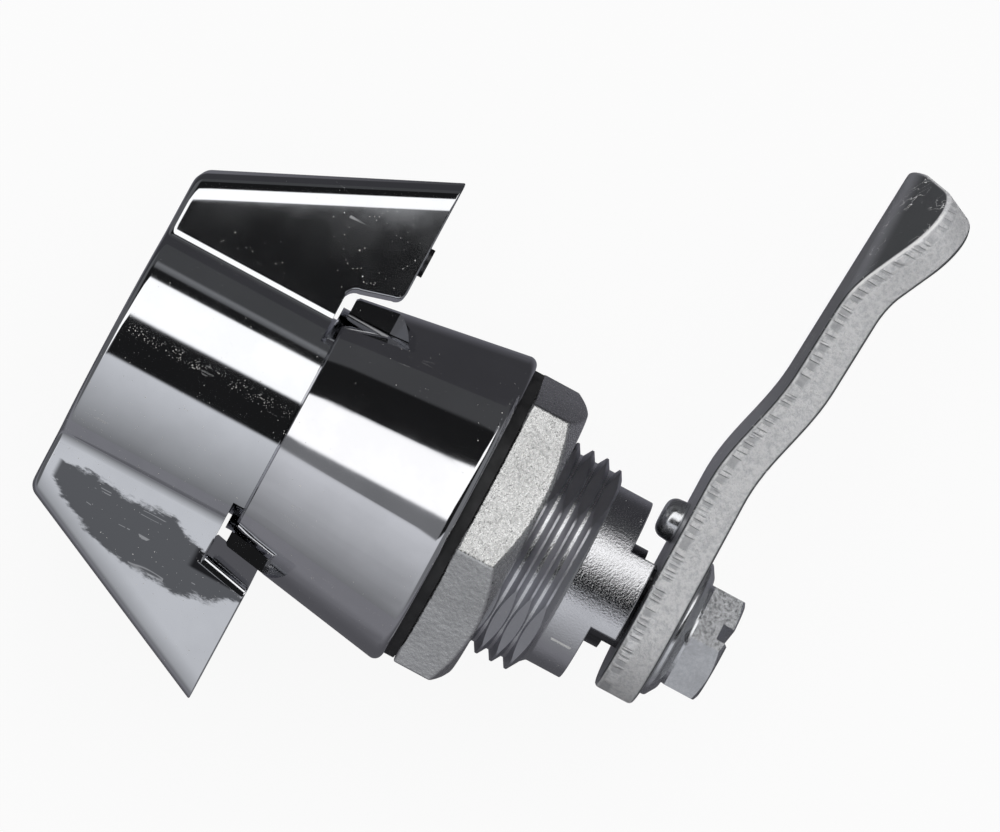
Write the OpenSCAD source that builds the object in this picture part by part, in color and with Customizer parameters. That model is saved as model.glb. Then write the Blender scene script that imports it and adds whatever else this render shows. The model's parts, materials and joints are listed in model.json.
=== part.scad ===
// Wing handle latch with a key lock in its hub and a turning cam lever behind the panel.
// The lock's axis runs along Y. The handle faces -Y, the cam is behind the panel at +Y and points to -X.
// The origin lies on the axis, in the plane where the gasket meets the front of the panel.

/* [Handle] */
// Length of the hub, from its front face to the housing's rim
hub_len = 17.95; // [17:0.05:24]
// Half span of the wings where they meet the front face
wing_front_x = 16.1; // [15:0.1:20]
// Half span of the wings at their rear tips
wing_rear_x = 26.45; // [24:0.05:34]
// How far the wings reach back over the housing
wing_overlap = 3.75; // [2:0.05:6]
// Half thickness of a wing where it leaves the hub
wing_root_half_t = 7.3; // [6:0.1:8]
// Half thickness of a wing at its outer tip
wing_tip_half_t = 4.7; // [3:0.1:5.6]
// Radius of the hollow between hub and wing
wing_fillet_r = 1.5; // [1:0.1:3]
// Radius of the rounded front corner of a wing
wing_corner_r = 1.4; // [0.5:0.1:2.5]
// Depth of the relief behind the wings, in front of the housing's rim
relief_depth = 1.1; // [0.6:0.05:2]
// Half width of the land of the hub that runs on the housing's rim
land_half_w = 9.25; // [8:0.05:10]
// Room between the inside of a wing hook and the housing, at the hook's root
hook_room = 0.45; // [0.4:0.05:1]

/* [Housing] */
// Length of the housing from its flange face to its rim
housing_len = 17.3; // [17:0.1:22]
// Wall of the housing at its rim
rim_wall = 1.4; // [1.2:0.05:2.5]
// How much the housing's radius grows from its rim to its flange
housing_flare = 2.7; // [2.4:0.1:5]
// Radius of the rounded edge at the flange
flange_edge_r = 0.8; // [0.3:0.1:1]
// Width of the rib that stays between two side windows
window_rib_w = 2; // [1.5:0.1:4]
// Length of a side window before its ramp
window_len = 4.1; // [2:0.1:5]
// How far the ramp at the end of a side window runs back
window_ramp = 2.1; // [1.6:0.1:3.4]
// Turn of the side windows about the axis
window_turn = 2.5; // [-5:0.5:5]

/* [Barrel] */
// Nominal radius of the barrel's thread
thread_r = 10.65; // [10:0.05:12.8]
// Depth of the thread
thread_depth = 0.85; // [0.5:0.05:1]
// Distance across two opposite flats of the barrel
barrel_af = 19.3; // [18.2:0.1:19.5]
// Distance from the panel plane to the end of the thread
thread_len = 9.9; // [8:0.1:12]
// Radius of the plain end of the barrel
barrel_end_r = 9; // [8.6:0.1:9.6]
// Distance from the panel plane to the barrel's end face
barrel_len = 14.2; // [13.6:0.1:17]
// Turn of the barrel's flats and lugs about the axis
barrel_turn = -6; // [-10:0.5:0]
// Length of the two stop lugs on the barrel's end
lug_len = 2.5; // [2:0.1:3]
// Width of a stop lug
lug_w = 7.7; // [6:0.1:7.8]

/* [Stem] */
// Radius of the stem inside the housing
stem_r = 11.35; // [11:0.05:13.6]
// Radius of the stem inside the barrel
shank_r = 6.95; // [6.3:0.05:7.3]
// Radius of the stem's journal in the barrel's end
journal_r = 5; // [4.9:0.1:5.8]
// Distance across the flats of the drive that carries the cam
drive_af = 8; // [7.5:0.1:9]
// Radius of the threaded hole for the cam bolt
bolt_hole_r = 3; // [2.5:0.1:3.2]

/* [Panel seal and nut] */
// Thickness of the gasket
gasket_t = 1; // [0.8:0.1:2]
// Outer radius of the gasket
gasket_r = 14.55; // [14:0.05:15]
// Distance across the nut's flats
nut_af = 27; // [26:0.5:32.4]
// Thickness of the nut
nut_t = 5.2; // [4:0.1:7]
// Turn of the nut about the axis
nut_turn = -22.6; // [-30:0.1:30]

/* [Cam] */
// Reach of the cam from the axis to its tip
cam_reach = 46.5; // [42:0.5:56]
// Width of the cam
cam_w = 16.2; // [15:0.1:19.4]
// Thickness of the cam
cam_t = 3.85; // [3:0.05:4.2]
// How far the cam is cranked back
cam_crank = 1.9; // [0:0.1:6]
// Angle by which the outer part of the cam leans back
cam_lean = 3.4; // [0:0.1:6]
// Room between the stop lugs and the cam
cam_gap = 0.55; // [0.5:0.05:1.2]
// Where along the arm the bent corner starts on the near side
cam_bend_start = 34.6; // [33:0.1:40]
// Angle by which the corner of the tip is bent back
cam_bend_deg = 31; // [0:1:40]
// Distance of the stop stud from the axis
stud_reach = 8.56; // [8.5:0.01:9]
// Radius of the stop stud at its foot
stud_r = 2.05; // [1.5:0.05:2.1]
// Height of the stop stud
stud_h = 2; // [1.6:0.1:2.4]

/* [Cam bolt] */
// Radius of the washer
washer_r = 6.75; // [6:0.05:8]
// Thickness of the washer
washer_t = 1.3; // [1:0.1:2]
// Distance across the flats of the bolt's head
bolt_af = 10; // [9:0.5:12]
// Height of the bolt's head
bolt_head_h = 3.6; // [3:0.1:4.5]
// Length of the bolt under its head
bolt_len = 14; // [10:0.5:15]
// Width of the slot across the bolt's head
bolt_slot_w = 1.7; // [1:0.1:2]

/* [Lock] */
// Radius of the lock plug
plug_r = 6.25; // [6:0.05:7.2]
// Radius of the flange at the plug's front
plug_flange_r = 7.3; // [7.25:0.05:8.6]
// Number of wafers
wafer_count = 5; // [5:1:5]
// Distance from one wafer to the next
wafer_pitch = 2.3; // [2.1:0.05:2.4]
// Thickness of a wafer
wafer_t = 0.9; // [0.7:0.05:1]
// Travel of a wafer between its drawn and its blocking place
wafer_travel = 0.8; // [0.5:0.05:0.9]
// Width of the key's slot
keyway_w = 2.2; // [1.6:0.1:2.4]
// Travel of the lock bolt
bolt_travel = 1.6; // [1.2:0.1:1.7]
// Half width of the lock bolt
lock_bolt_half_w = 3.6; // [3.3:0.1:4.2]
// Thickness of the lock bolt
lock_bolt_t = 2.4; // [2:0.1:2.9]

/* [Hidden] */
$fn = 96;

// Running clearance on a radius, and the side clearance of sliding pieces
run_gap = 0.05;
// What a cut passes beyond a face
over = 1;

// Stations along the axis
flange_y = -gasket_t;
rim_y = flange_y - housing_len;
hub_rear_y = rim_y - run_gap;
front_y = hub_rear_y - hub_len;
wing_rear_y = rim_y + wing_overlap;
relief_y = rim_y - relief_depth;
stem_step_y = flange_y - 3.2;
shank_end_y = barrel_len - 3.4;
journal_end_y = barrel_len + 1.65;
lug_end_y = barrel_len + lug_len;
cam_front_y = lug_end_y + cam_gap;
cam_rear_y = cam_front_y + cam_t;
stem_end_y = cam_rear_y;
washer_rear_y = cam_rear_y + washer_t;

// Radii of the housing, worked out from the stem
bore_r = stem_r + run_gap;
rim_r = bore_r + rim_wall;
flange_r = rim_r + housing_flare;
hub_r = rim_r - 0.1;
barrel_bore_r = shank_r + run_gap;
thread_root_r = thread_r - thread_depth;
taper = atan(housing_flare / housing_len);
rim_edge = 0.25;

// Wings: slope of their faces, and of their outer edges
face_tilt = atan((wing_root_half_t - wing_tip_half_t) / (wing_rear_x - hub_r + wing_fillet_r));
face_dist = cos(face_tilt) * (wing_tip_half_t + tan(face_tilt) * wing_rear_x);
edge_tilt = atan((wing_rear_x - wing_front_x) / (wing_rear_y - front_y));
hook_x = rim_r + hook_room;
hook_flare = taper + 3;
hook_draft = 4.5;
gate_mark = [-18.4, -1];
gate_mark_r = 1.4;
gate_mark_h = 0.45;

// Window in the housing's side
window_x = rim_r - 2.3;
window_edge_z = 7.4;

// Seal groove
seal_y = -10.1;
seal_wire_r = 0.73;
seal_groove_half_w = 1.1;
seal_centre_r = bore_r - 0.02 - seal_wire_r;

// Lock: flange, wafers, snap ring, tail and eccentric
plug_front_y = front_y + 0.1;
plug_flange_t = 1.1;
plug_end_y = hub_rear_y - 1.65;
wafer_first_y = plug_front_y + 2.6;
wafer_half_w = 2.5;
wafer_bottom_z = -5.2;
wafer_lug_x = 4.2;
wafer_lug_z = 0.9;
wafer_lug_h = 1.2;
wafer_window_half_h = 2.8;
wafer_cuts = [0.3, -0.3, 0, 0.5, -0.2];
keyway_half_h = 3.6;
keyway_end_y = wafer_first_y + (wafer_count - 1) * wafer_pitch + 1.6;
spring_x = 3.3;
spring_foot_z = -2.6;
spring_r = 0.47;
spring_wire_r = 0.12;
spring_turns = 6;
groove_half_w = wafer_half_w + 0.4;
groove_top_z = plug_r + wafer_travel + 0.3;
ring_y = plug_end_y - 0.9;
ring_t = 0.6;
ring_inner_r = plug_r - 0.65;
ring_outer_r = plug_r + 0.65;
tail_r = 2.6;
eccentric = bolt_travel;
eccentric_r = 0.9;

// Lock bolt and its pockets in the housing's bore
lock_bolt_y = -8.2;
lock_bolt_top_z = 3.4;
lock_bolt_end_r = stem_r - 0.05;
pocket_r = stem_r + bolt_travel + 0.2;
pocket_half_w = lock_bolt_half_w + 0.15;
pocket_turns = [-45 + barrel_turn, 0, 45 + barrel_turn];

// Cam outline
cam_end_r = cam_w / 2;
cam_corner_r = 6;
crank_start = 13.2;
crank_len = 12.8;
crank_end = crank_start + crank_len;
crank_steps = 12;
bend_end_z = 2;
bend_line_deg = atan2(bend_end_z - cam_w, cam_reach - cam_bend_start);

// Puts a solid drawn along Z onto the lock's axis, from y0 towards the rear
module on_axis(y0) {
    translate([0, y0, 0]) rotate([-90, 0, 0]) children();
}

// A round bar on the lock's axis
module bar(r, y0, y1) {
    on_axis(y0) cylinder(r = r, h = y1 - y0);
}

// A round tapered bar on the lock's axis
module cone_bar(r0, r1, y0, y1) {
    on_axis(y0) cylinder(r1 = r0, r2 = r1, h = y1 - y0);
}

// An outline in X and Z, drawn out along Y between two stations
module along_y(y0, y1) {
    translate([0, y1, 0]) rotate([90, 0, 0]) linear_extrude(y1 - y0) children();
}

// An outline in Y and Z, drawn out along X from x0 to x1
module along_x(x0, x1) {
    translate([x0, 0, 0]) rotate([90, 0, 90]) linear_extrude(x1 - x0) children();
}

// Both mirror images of a solid to the left and right of the axis
module both_sides() {
    children();
    mirror([1, 0, 0]) children();
}

// A box between two corners
module box(low, high) {
    translate(low) cube(high - low);
}

// Cross section of hub and wings

// Hollow between hub and wing, touching both
module wing_hollow() {
    normal = [sin(face_tilt), cos(face_tilt)];
    slope = [cos(face_tilt), -sin(face_tilt)];
    reach = face_dist + wing_fillet_r;
    centre = reach * normal + sqrt(pow(hub_r + wing_fillet_r, 2) - pow(reach, 2)) * slope;
    on_hub = centre * hub_r / (hub_r + wing_fillet_r);
    on_wing = centre - wing_fillet_r * normal;
    difference() {
        polygon([on_hub * 0.97, on_hub, centre, on_wing, on_wing - 0.5 * normal]);
        translate(centre) circle(wing_fillet_r);
    }
}

module wing_section() {
    root_z = face_dist / cos(face_tilt);
    circle(hub_r);
    polygon([[0, root_z], [wing_rear_x, wing_tip_half_t], [wing_rear_x, -wing_tip_half_t], [0, -root_z],
             [-wing_rear_x, -wing_tip_half_t], [-wing_rear_x, wing_tip_half_t]]);
    for (sx = [0, 1], sz = [0, 1]) mirror([sx, 0]) mirror([0, sz]) wing_hollow();
}

// Side outline of one half of the handle, in X and Y
module wing_outline() {
    corner = [wing_front_x - wing_corner_r * (1 - sin(edge_tilt)) / cos(edge_tilt), front_y + wing_corner_r];
    edge = corner + wing_corner_r * [cos(edge_tilt), -sin(edge_tilt)];
    translate(corner) circle(wing_corner_r);
    polygon([[-1, front_y], [corner[0], front_y], edge, [wing_rear_x, wing_rear_y], [land_half_w, wing_rear_y],
             [land_half_w, hub_rear_y], [-1, hub_rear_y]]);
}

// Room behind a wing: the relief in front of the rim, and the drafted inside of the hook
module hook_room_cut() {
    box([land_half_w - 1, relief_y, -20], [hook_x - 1.2, wing_rear_y + over, 20]);
    translate([hook_x, 0, 0]) rotate([0, hook_draft, 0]) linear_extrude(40, center = true)
        polygon([[-2.2, relief_y], [0, relief_y],
                 [tan(hook_flare) * (wing_overlap + relief_depth + over), wing_rear_y + over],
                 [-2.2, wing_rear_y + over]]);
}

// Stem: seal groove, shank, journal and drive
module stem() {
    bar(stem_r, relief_y - over, seal_y - seal_groove_half_w);
    bar(seal_centre_r - seal_wire_r - 0.02, relief_y - over, stem_step_y);
    bar(stem_r, seal_y + seal_groove_half_w, stem_step_y);
    bar(shank_r, stem_step_y - over, shank_end_y);
    bar(journal_r, shank_end_y - over, journal_end_y);
    intersection() {
        bar(journal_r, shank_end_y, stem_end_y);
        box([-drive_af / 2, shank_end_y, -drive_af / 2], [drive_af / 2, stem_end_y, drive_af / 2]);
    }
}

// Hollow for the lock: plug bore, wafer grooves, ring groove, tail bore and the lock bolt's channel
module lock_hollow() {
    bar(plug_flange_r + run_gap, front_y - over, plug_front_y + plug_flange_t + run_gap);
    bar(plug_r + run_gap, front_y, plug_end_y + run_gap);
    for (turn = [0, 90]) rotate([0, turn, 0])
        box([-groove_half_w, wafer_first_y - wafer_t, 0],
            [groove_half_w, keyway_end_y - 0.6, groove_top_z]);
    bar(ring_outer_r + run_gap, ring_y - ring_t / 2 - run_gap, ring_y + ring_t / 2 + run_gap);
    bar(tail_r + run_gap, plug_end_y - over, lock_bolt_y + over);
    box([-lock_bolt_half_w - run_gap, lock_bolt_y - run_gap, -stem_r - over],
        [lock_bolt_half_w + run_gap, lock_bolt_y + lock_bolt_t + run_gap, lock_bolt_top_z + run_gap]);
}

module wing_handle() {
    color([0.78, 0.79, 0.8]) difference() {
        union() {
            difference() {
                intersection() {
                    along_y(front_y, wing_rear_y) wing_section();
                    linear_extrude(60, center = true) both_sides() wing_outline();
                }
                both_sides() hook_room_cut();
            }
            stem();
            translate([gate_mark[0], wing_rear_y - over, gate_mark[1]]) rotate([-90, 0, 0])
                cylinder(r = gate_mark_r, h = gate_mark_h + over, $fn = 32);
        }
        lock_hollow();
        bar(bolt_hole_r, stem_end_y - bolt_len - 1, stem_end_y + over);
    }
}

// Rubber ring that seals the stem in the housing
module stem_seal() {
    color([0.08, 0.08, 0.08]) on_axis(seal_y) rotate_extrude()
        translate([seal_centre_r, 0]) circle(seal_wire_r, $fn = 32);
}

// Window beside the rib: a wall that follows the taper, a flat floor and a ramp at its end
module window_cut() {
    floor_z = window_rib_w / 2;
    ramp_rise = (window_edge_z - floor_z) / window_ramp;
    ramp_y = rim_y + window_len;
    intersection() {
        along_x(0, flange_r + over)
            polygon([[rim_y - over, floor_z], [ramp_y, floor_z], [ramp_y + 8, floor_z + 8 * ramp_rise],
                     [rim_y - over, floor_z + 8 * ramp_rise]]);
        translate([window_x, rim_y, 0]) rotate([0, 0, -taper]) box([0, -2 * over, 0], [20, 20, 20]);
    }
}

// Body of the housing, tapered, with a rounded edge at the flange
module housing_shell() {
    on_axis(0) rotate_extrude() {
        edge_x = flange_r - flange_edge_r;
        translate([edge_x, flange_y - flange_edge_r]) circle(flange_edge_r, $fn = 48);
        polygon([[0, rim_y], [rim_r - rim_edge, rim_y], [rim_r, rim_y + rim_edge],
                 [edge_x + flange_edge_r * cos(taper), flange_y - flange_edge_r * (1 + sin(taper))],
                 [edge_x, flange_y - flange_edge_r], [edge_x, flange_y], [0, flange_y]]);
    }
}

// Barrel with four flats, its plain end and the two stop lugs
module barrel() {
    intersection() {
        union() {
            bar(thread_root_r, flange_y - over, thread_len);
            cone_bar(thread_root_r, barrel_end_r, thread_len, thread_len + thread_root_r - barrel_end_r);
            bar(barrel_end_r, thread_len - over, barrel_len);
        }
        rotate([0, 45, 0]) box([-barrel_af / 2, flange_y - over, -barrel_af / 2],
                               [barrel_af / 2, barrel_len, barrel_af / 2]);
    }
    intersection() {
        bar(barrel_end_r, barrel_len - over, lug_end_y);
        box([-lug_w / 2, barrel_len - over, -barrel_end_r], [lug_w / 2, lug_end_y, barrel_end_r]);
    }
}

module housing() {
    color([0.72, 0.73, 0.75]) difference() {
        union() {
            housing_shell();
            rotate([0, barrel_turn, 0]) barrel();
        }
        bar(bore_r, rim_y - over, stem_step_y + run_gap);
        bar(barrel_bore_r, stem_step_y - over, shank_end_y + run_gap);
        bar(journal_r + run_gap, shank_end_y - over, lug_end_y + over);
        rotate([0, window_turn, 0]) both_sides() {
            window_cut();
            mirror([0, 0, 1]) window_cut();
        }
        for (turn = pocket_turns) rotate([0, turn, 0]) intersection() {
            bar(pocket_r, lock_bolt_y - 0.15, lock_bolt_y + lock_bolt_t + 0.15);
            box([-pocket_half_w, lock_bolt_y - over, -20], [pocket_half_w, lock_bolt_y + lock_bolt_t + over, 0]);
        }
    }
}

module panel_gasket() {
    color([0.1, 0.1, 0.1]) difference() {
        bar(gasket_r, flange_y, 0);
        bar(thread_r + 0.1, flange_y - over, over);
    }
}

// Hexagon nut with one chamfered face
module fixing_nut() {
    corner_r = nut_af / 2 / cos(30);
    chamfer_r = nut_af / 2 - 0.3;
    chamfer_h = (corner_r - chamfer_r) * tan(31);
    color([0.7, 0.71, 0.7]) difference() {
        intersection() {
            rotate([0, nut_turn, 0]) on_axis(0) cylinder(r = corner_r, h = nut_t, $fn = 6);
            union() {
                bar(corner_r + over, 0, nut_t - chamfer_h);
                cone_bar(corner_r, chamfer_r, nut_t - chamfer_h, nut_t);
            }
        }
        bar(thread_r + 0.1, -over, nut_t + over);
        cone_bar(thread_r, thread_r + 0.8, nut_t - 0.4, nut_t + 0.4);
    }
}

// Outline of the cam seen along the axis, drawn towards +X, with a rounded corner on the near side
module cam_plan() {
    circle(cam_end_r);
    translate([0, -cam_w / 2]) square([cam_reach - cam_corner_r, cam_w]);
    translate([0, -cam_w / 2]) square([cam_reach, cam_w - cam_corner_r]);
    translate([cam_reach - cam_corner_r, cam_w / 2 - cam_corner_r]) circle(cam_corner_r, $fn = 48);
}

// Half plane on one side of the bend line: the inner side or, with side = 1, the corner
module bend_side(side) {
    translate([cam_bend_start, cam_w / 2]) rotate(bend_line_deg)
        translate([-60, side == 1 ? 0 : -120]) square([120, 120]);
}

// Side of the arm: straight at the pivot, an even crank, then a slight lean backwards
function crank_y(t) = cam_front_y + cam_crank * (1 - cos(180 * t)) / 2 + tan(cam_lean) * crank_len * t * t / 2;
crank_line = [for (i = [0 : crank_steps]) [crank_start + crank_len * i / crank_steps, crank_y(i / crank_steps)]];
crank_end_y = crank_y(1);
arm_end = [cam_reach + 2, crank_end_y + tan(cam_lean) * (cam_reach + 2 - crank_end)];
arm_front = concat([[-cam_end_r - over, cam_front_y]], crank_line, [arm_end]);
arm_rear = [for (i = [len(arm_front) - 1 : -1 : 0]) arm_front[i] + [0, cam_t]];

// Frame of the leaning outer plate: its front face becomes the plane Y = 0, the pivot keeps X = 0
module outer_plate() {
    translate([crank_end, crank_end_y, 0]) rotate([0, 0, cam_lean]) translate([-crank_end, 0, 0]) children();
}

module cam_arm() {
    intersection() {
        linear_extrude(cam_w + 2, center = true) polygon(concat(arm_front, arm_rear));
        union() {
            along_y(cam_front_y - over, cam_rear_y + cam_crank + 2) intersection() {
                cam_plan();
                translate([-20, -20]) square([20 + crank_end, 40]);
            }
            outer_plate() along_y(-over, cam_t + over) intersection() {
                cam_plan();
                translate([crank_end - 1, -20]) square([40, 40]);
                bend_side(0);
            }
        }
    }
}

// Corner of the tip, bent back about the slanting bend line, with a round bend
module cam_corner() {
    bend_at = [cam_bend_start, cam_t / 2, cam_w / 2];
    outer_plate() {
        translate(bend_at) rotate([0, -bend_line_deg, 0]) rotate([-cam_bend_deg, 0, 0])
            rotate([0, bend_line_deg, 0]) translate(-bend_at)
            along_y(0, cam_t) intersection() {
                cam_plan();
                bend_side(1);
            }
        intersection() {
            translate(bend_at) rotate([0, -bend_line_deg, 0]) rotate([0, 90, 0])
                translate([0, 0, -30]) cylinder(r = cam_t / 2 + 0.02, h = 60);
            along_y(0, cam_t) cam_plan();
        }
    }
}

// Opening that fits over the stem's drive
module drive_opening(y0, y1) {
    half = drive_af / 2 + run_gap;
    intersection() {
        bar(journal_r + run_gap, y0, y1);
        box([-half, y0, -half], [half, y1, half]);
    }
}

module cam_lever() {
    color([0.72, 0.72, 0.7]) mirror([1, 0, 0]) difference() {
        union() {
            cam_arm();
            cam_corner();
        }
        drive_opening(cam_front_y - over, cam_rear_y + over);
        translate([stud_reach, cam_front_y - over, 0]) rotate([-90, 0, 0])
            cylinder(r = stud_r - 0.4, h = cam_t + 2 * over, $fn = 48);
    }
}

// Stud riveted into the cam, which runs between the stop lugs
module stop_stud() {
    tip_r = stud_r - 0.1;
    round_r = stud_r * 0.5;
    color([0.8, 0.8, 0.8]) translate([-stud_reach, cam_front_y, 0]) rotate([-90, 0, 0]) {
        translate([0, 0, -0.01]) cylinder(r = stud_r - 0.42, h = cam_t, $fn = 48);
        rotate_extrude($fn = 48) {
            polygon([[0, 0], [stud_r, 0], [tip_r, round_r - stud_h], [0, round_r - stud_h]]);
            polygon([[0, round_r - stud_h], [tip_r - round_r, round_r - stud_h], [tip_r - round_r, -stud_h],
                     [0, -stud_h]]);
            intersection() {
                translate([tip_r - round_r, round_r - stud_h]) circle(round_r, $fn = 48);
                translate([0, -stud_h - 1]) square([stud_r, stud_h + 1]);
            }
        }
    }
}

module cam_washer() {
    color([0.6, 0.6, 0.6]) difference() {
        union() {
            bar(washer_r, cam_rear_y, cam_rear_y + washer_t * 0.45);
            cone_bar(washer_r, bolt_af / 2 + 0.6, cam_rear_y + washer_t * 0.45, washer_rear_y);
        }
        bar(bolt_hole_r + 0.2, cam_rear_y - over, washer_rear_y + over);
    }
}

// Hexagon bolt with a thin collar, a chamfered head and a slot across it
module cam_bolt() {
    corner_r = bolt_af / 2 / cos(30);
    collar_h = 0.4;
    head_y = washer_rear_y + bolt_head_h;
    color([0.75, 0.75, 0.75]) difference() {
        union() {
            bar(bolt_hole_r - run_gap, washer_rear_y - bolt_len, washer_rear_y + 0.2);
            bar(bolt_af / 2, washer_rear_y, washer_rear_y + collar_h);
            intersection() {
                rotate([0, -3.5, 0]) on_axis(washer_rear_y + collar_h - 0.1) rotate([0, 0, 30])
                    cylinder(r = corner_r, h = bolt_head_h - collar_h + 0.1, $fn = 6);
                union() {
                    bar(corner_r, washer_rear_y, head_y - 0.5);
                    cone_bar(corner_r, bolt_af / 2 - 0.3, head_y - 0.5, head_y);
                }
            }
        }
        rotate([0, -22, 0]) box([-bolt_slot_w / 2, head_y - 1.2, -20], [bolt_slot_w / 2, head_y + over, 20]);
    }
}

// Place of a wafer along the axis, counted from 1
function wafer_y(i) = wafer_first_y + (i - 1) * wafer_pitch;

// Lock plug: flange, body, tail and eccentric, cut for the key, the wafers and their springs
module lock_plug() {
    slot_half_t = wafer_t / 2 + run_gap;
    color([0.8, 0.8, 0.8]) difference() {
        union() {
            bar(plug_flange_r, plug_front_y, plug_front_y + plug_flange_t);
            bar(plug_r, plug_front_y, plug_end_y);
            bar(tail_r, plug_end_y - over, lock_bolt_y - 2 * run_gap);
            translate([eccentric, 0, 0]) bar(eccentric_r, lock_bolt_y - over, lock_bolt_y + lock_bolt_t - run_gap);
        }
        box([-keyway_w / 2, plug_front_y - over, -keyway_half_h], [keyway_w / 2, keyway_end_y, keyway_half_h]);
        for (i = [1 : wafer_count]) translate([0, wafer_y(i), 0]) {
            box([-wafer_half_w - run_gap, -slot_half_t, -plug_r - over],
                [wafer_half_w + run_gap, slot_half_t, plug_r + over]);
            box([0, -slot_half_t, wafer_lug_z - 0.3],
                [wafer_lug_x + run_gap, slot_half_t, wafer_lug_z + wafer_lug_h + wafer_travel + 0.1]);
            translate([spring_x, 0, spring_foot_z])
                cylinder(r = spring_r + spring_wire_r + 0.1, h = wafer_lug_z - spring_foot_z, $fn = 24);
        }
        difference() {
            bar(plug_r + over, ring_y - ring_t / 2, ring_y + ring_t / 2);
            bar(ring_inner_r - run_gap, ring_y - over, ring_y + over);
        }
    }
}

// Open snap ring that keeps the plug in the hub
module plug_snap_ring() {
    color([0.55, 0.55, 0.55]) difference() {
        bar(ring_outer_r, ring_y - ring_t / 2, ring_y + ring_t / 2);
        bar(ring_inner_r, ring_y - over, ring_y + over);
        box([-1.2, ring_y - over, -20], [1.2, ring_y + over, 0]);
    }
}

// Wafer, drawn in flush with the plug: key window, and a lug that its spring lifts
module wafer(i) {
    lift = wafer_cuts[i - 1];
    color([0.8, 0.68, 0.35]) translate([0, wafer_y(i), 0]) difference() {
        union() {
            intersection() {
                bar(plug_r - run_gap, -wafer_t / 2, wafer_t / 2);
                box([-wafer_half_w, -wafer_t, wafer_bottom_z], [wafer_half_w, wafer_t, plug_r]);
            }
            box([0, -wafer_t / 2, wafer_lug_z], [wafer_lug_x, wafer_t / 2, wafer_lug_z + wafer_lug_h]);
        }
        box([-keyway_w / 2 - 0.15, -wafer_t, lift - wafer_window_half_h],
            [keyway_w / 2 + 0.15, wafer_t, lift + wafer_window_half_h]);
    }
}

module wafer_1() { wafer(1); }
module wafer_2() { wafer(2); }
module wafer_3() { wafer(3); }
module wafer_4() { wafer(4); }
module wafer_5() { wafer(5); }

// Coil spring under a wafer's lug, swept as one closed tube
module wafer_spring(i) {
    sides = 6;
    per_turn = 10;
    rings = spring_turns * per_turn;
    rise = wafer_lug_z - spring_foot_z - 2 * spring_wire_r;
    points = [for (k = [0 : rings], s = [0 : sides - 1])
        let (a = 360 * k / per_turn, b = 360 * s / sides, r = spring_r + spring_wire_r * cos(b))
        [r * cos(a), r * sin(a), rise * k / rings + spring_wire_r * sin(b)]];
    walls = [for (k = [0 : rings - 1], s = [0 : sides - 1])
        let (n = (s + 1) % sides)
        [k * sides + s, (k + 1) * sides + s, (k + 1) * sides + n, k * sides + n]];
    foot = [[for (s = [0 : sides - 1]) s]];
    head = [[for (s = [sides - 1 : -1 : 0]) rings * sides + s]];
    color([0.6, 0.6, 0.62]) translate([spring_x, wafer_y(i), spring_foot_z + spring_wire_r])
        polyhedron(points, concat(walls, foot, head));
}

module wafer_spring_1() { wafer_spring(1); }
module wafer_spring_2() { wafer_spring(2); }
module wafer_spring_3() { wafer_spring(3); }
module wafer_spring_4() { wafer_spring(4); }
module wafer_spring_5() { wafer_spring(5); }

// Lock bolt that the eccentric drives out of the stem into a pocket of the housing
module lock_bolt() {
    slot_half_h = eccentric_r + 0.4;
    slot_end = eccentric_r + 0.15;
    color([0.65, 0.65, 0.65]) difference() {
        intersection() {
            bar(lock_bolt_end_r, lock_bolt_y, lock_bolt_y + lock_bolt_t);
            box([-lock_bolt_half_w, lock_bolt_y, -stem_r], [lock_bolt_half_w, lock_bolt_y + lock_bolt_t, lock_bolt_top_z]);
        }
        box([-slot_end, lock_bolt_y - over, -slot_half_h],
            [eccentric + slot_end, lock_bolt_y + lock_bolt_t + over, slot_half_h]);
    }
}

housing();
panel_gasket();
fixing_nut();
wing_handle();
stem_seal();
cam_lever();
stop_stud();
cam_washer();
cam_bolt();
lock_plug();
plug_snap_ring();
lock_bolt();
wafer_1();
wafer_2();
wafer_3();
wafer_4();
wafer_5();
wafer_spring_1();
wafer_spring_2();
wafer_spring_3();
wafer_spring_4();
wafer_spring_5();
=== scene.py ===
# Looks for the locking wing handle: rounded chrome castings, rolled thread, sheared steel cam, studio light.
import json
import math
import bmesh
import bpy
from mathutils import Matrix, Vector

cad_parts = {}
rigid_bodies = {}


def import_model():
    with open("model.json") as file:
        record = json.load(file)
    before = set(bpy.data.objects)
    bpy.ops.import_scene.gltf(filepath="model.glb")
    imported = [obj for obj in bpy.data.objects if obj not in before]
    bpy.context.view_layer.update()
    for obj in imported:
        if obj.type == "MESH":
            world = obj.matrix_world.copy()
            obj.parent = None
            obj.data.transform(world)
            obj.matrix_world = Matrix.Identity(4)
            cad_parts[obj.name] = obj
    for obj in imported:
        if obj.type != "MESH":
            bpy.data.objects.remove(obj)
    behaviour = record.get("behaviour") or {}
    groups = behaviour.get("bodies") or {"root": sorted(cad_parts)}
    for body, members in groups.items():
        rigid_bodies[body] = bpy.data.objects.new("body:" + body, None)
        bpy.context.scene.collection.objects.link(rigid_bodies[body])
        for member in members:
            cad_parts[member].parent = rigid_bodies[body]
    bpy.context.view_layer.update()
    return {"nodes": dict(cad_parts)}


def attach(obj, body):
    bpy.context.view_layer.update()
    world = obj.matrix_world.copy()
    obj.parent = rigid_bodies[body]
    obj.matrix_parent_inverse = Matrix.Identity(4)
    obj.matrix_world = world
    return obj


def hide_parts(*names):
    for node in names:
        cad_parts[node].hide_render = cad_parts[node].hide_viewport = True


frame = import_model()
mm = 0.001  # the dictionaries give lengths in mm and angles in degrees; meshes are in metres


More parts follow.
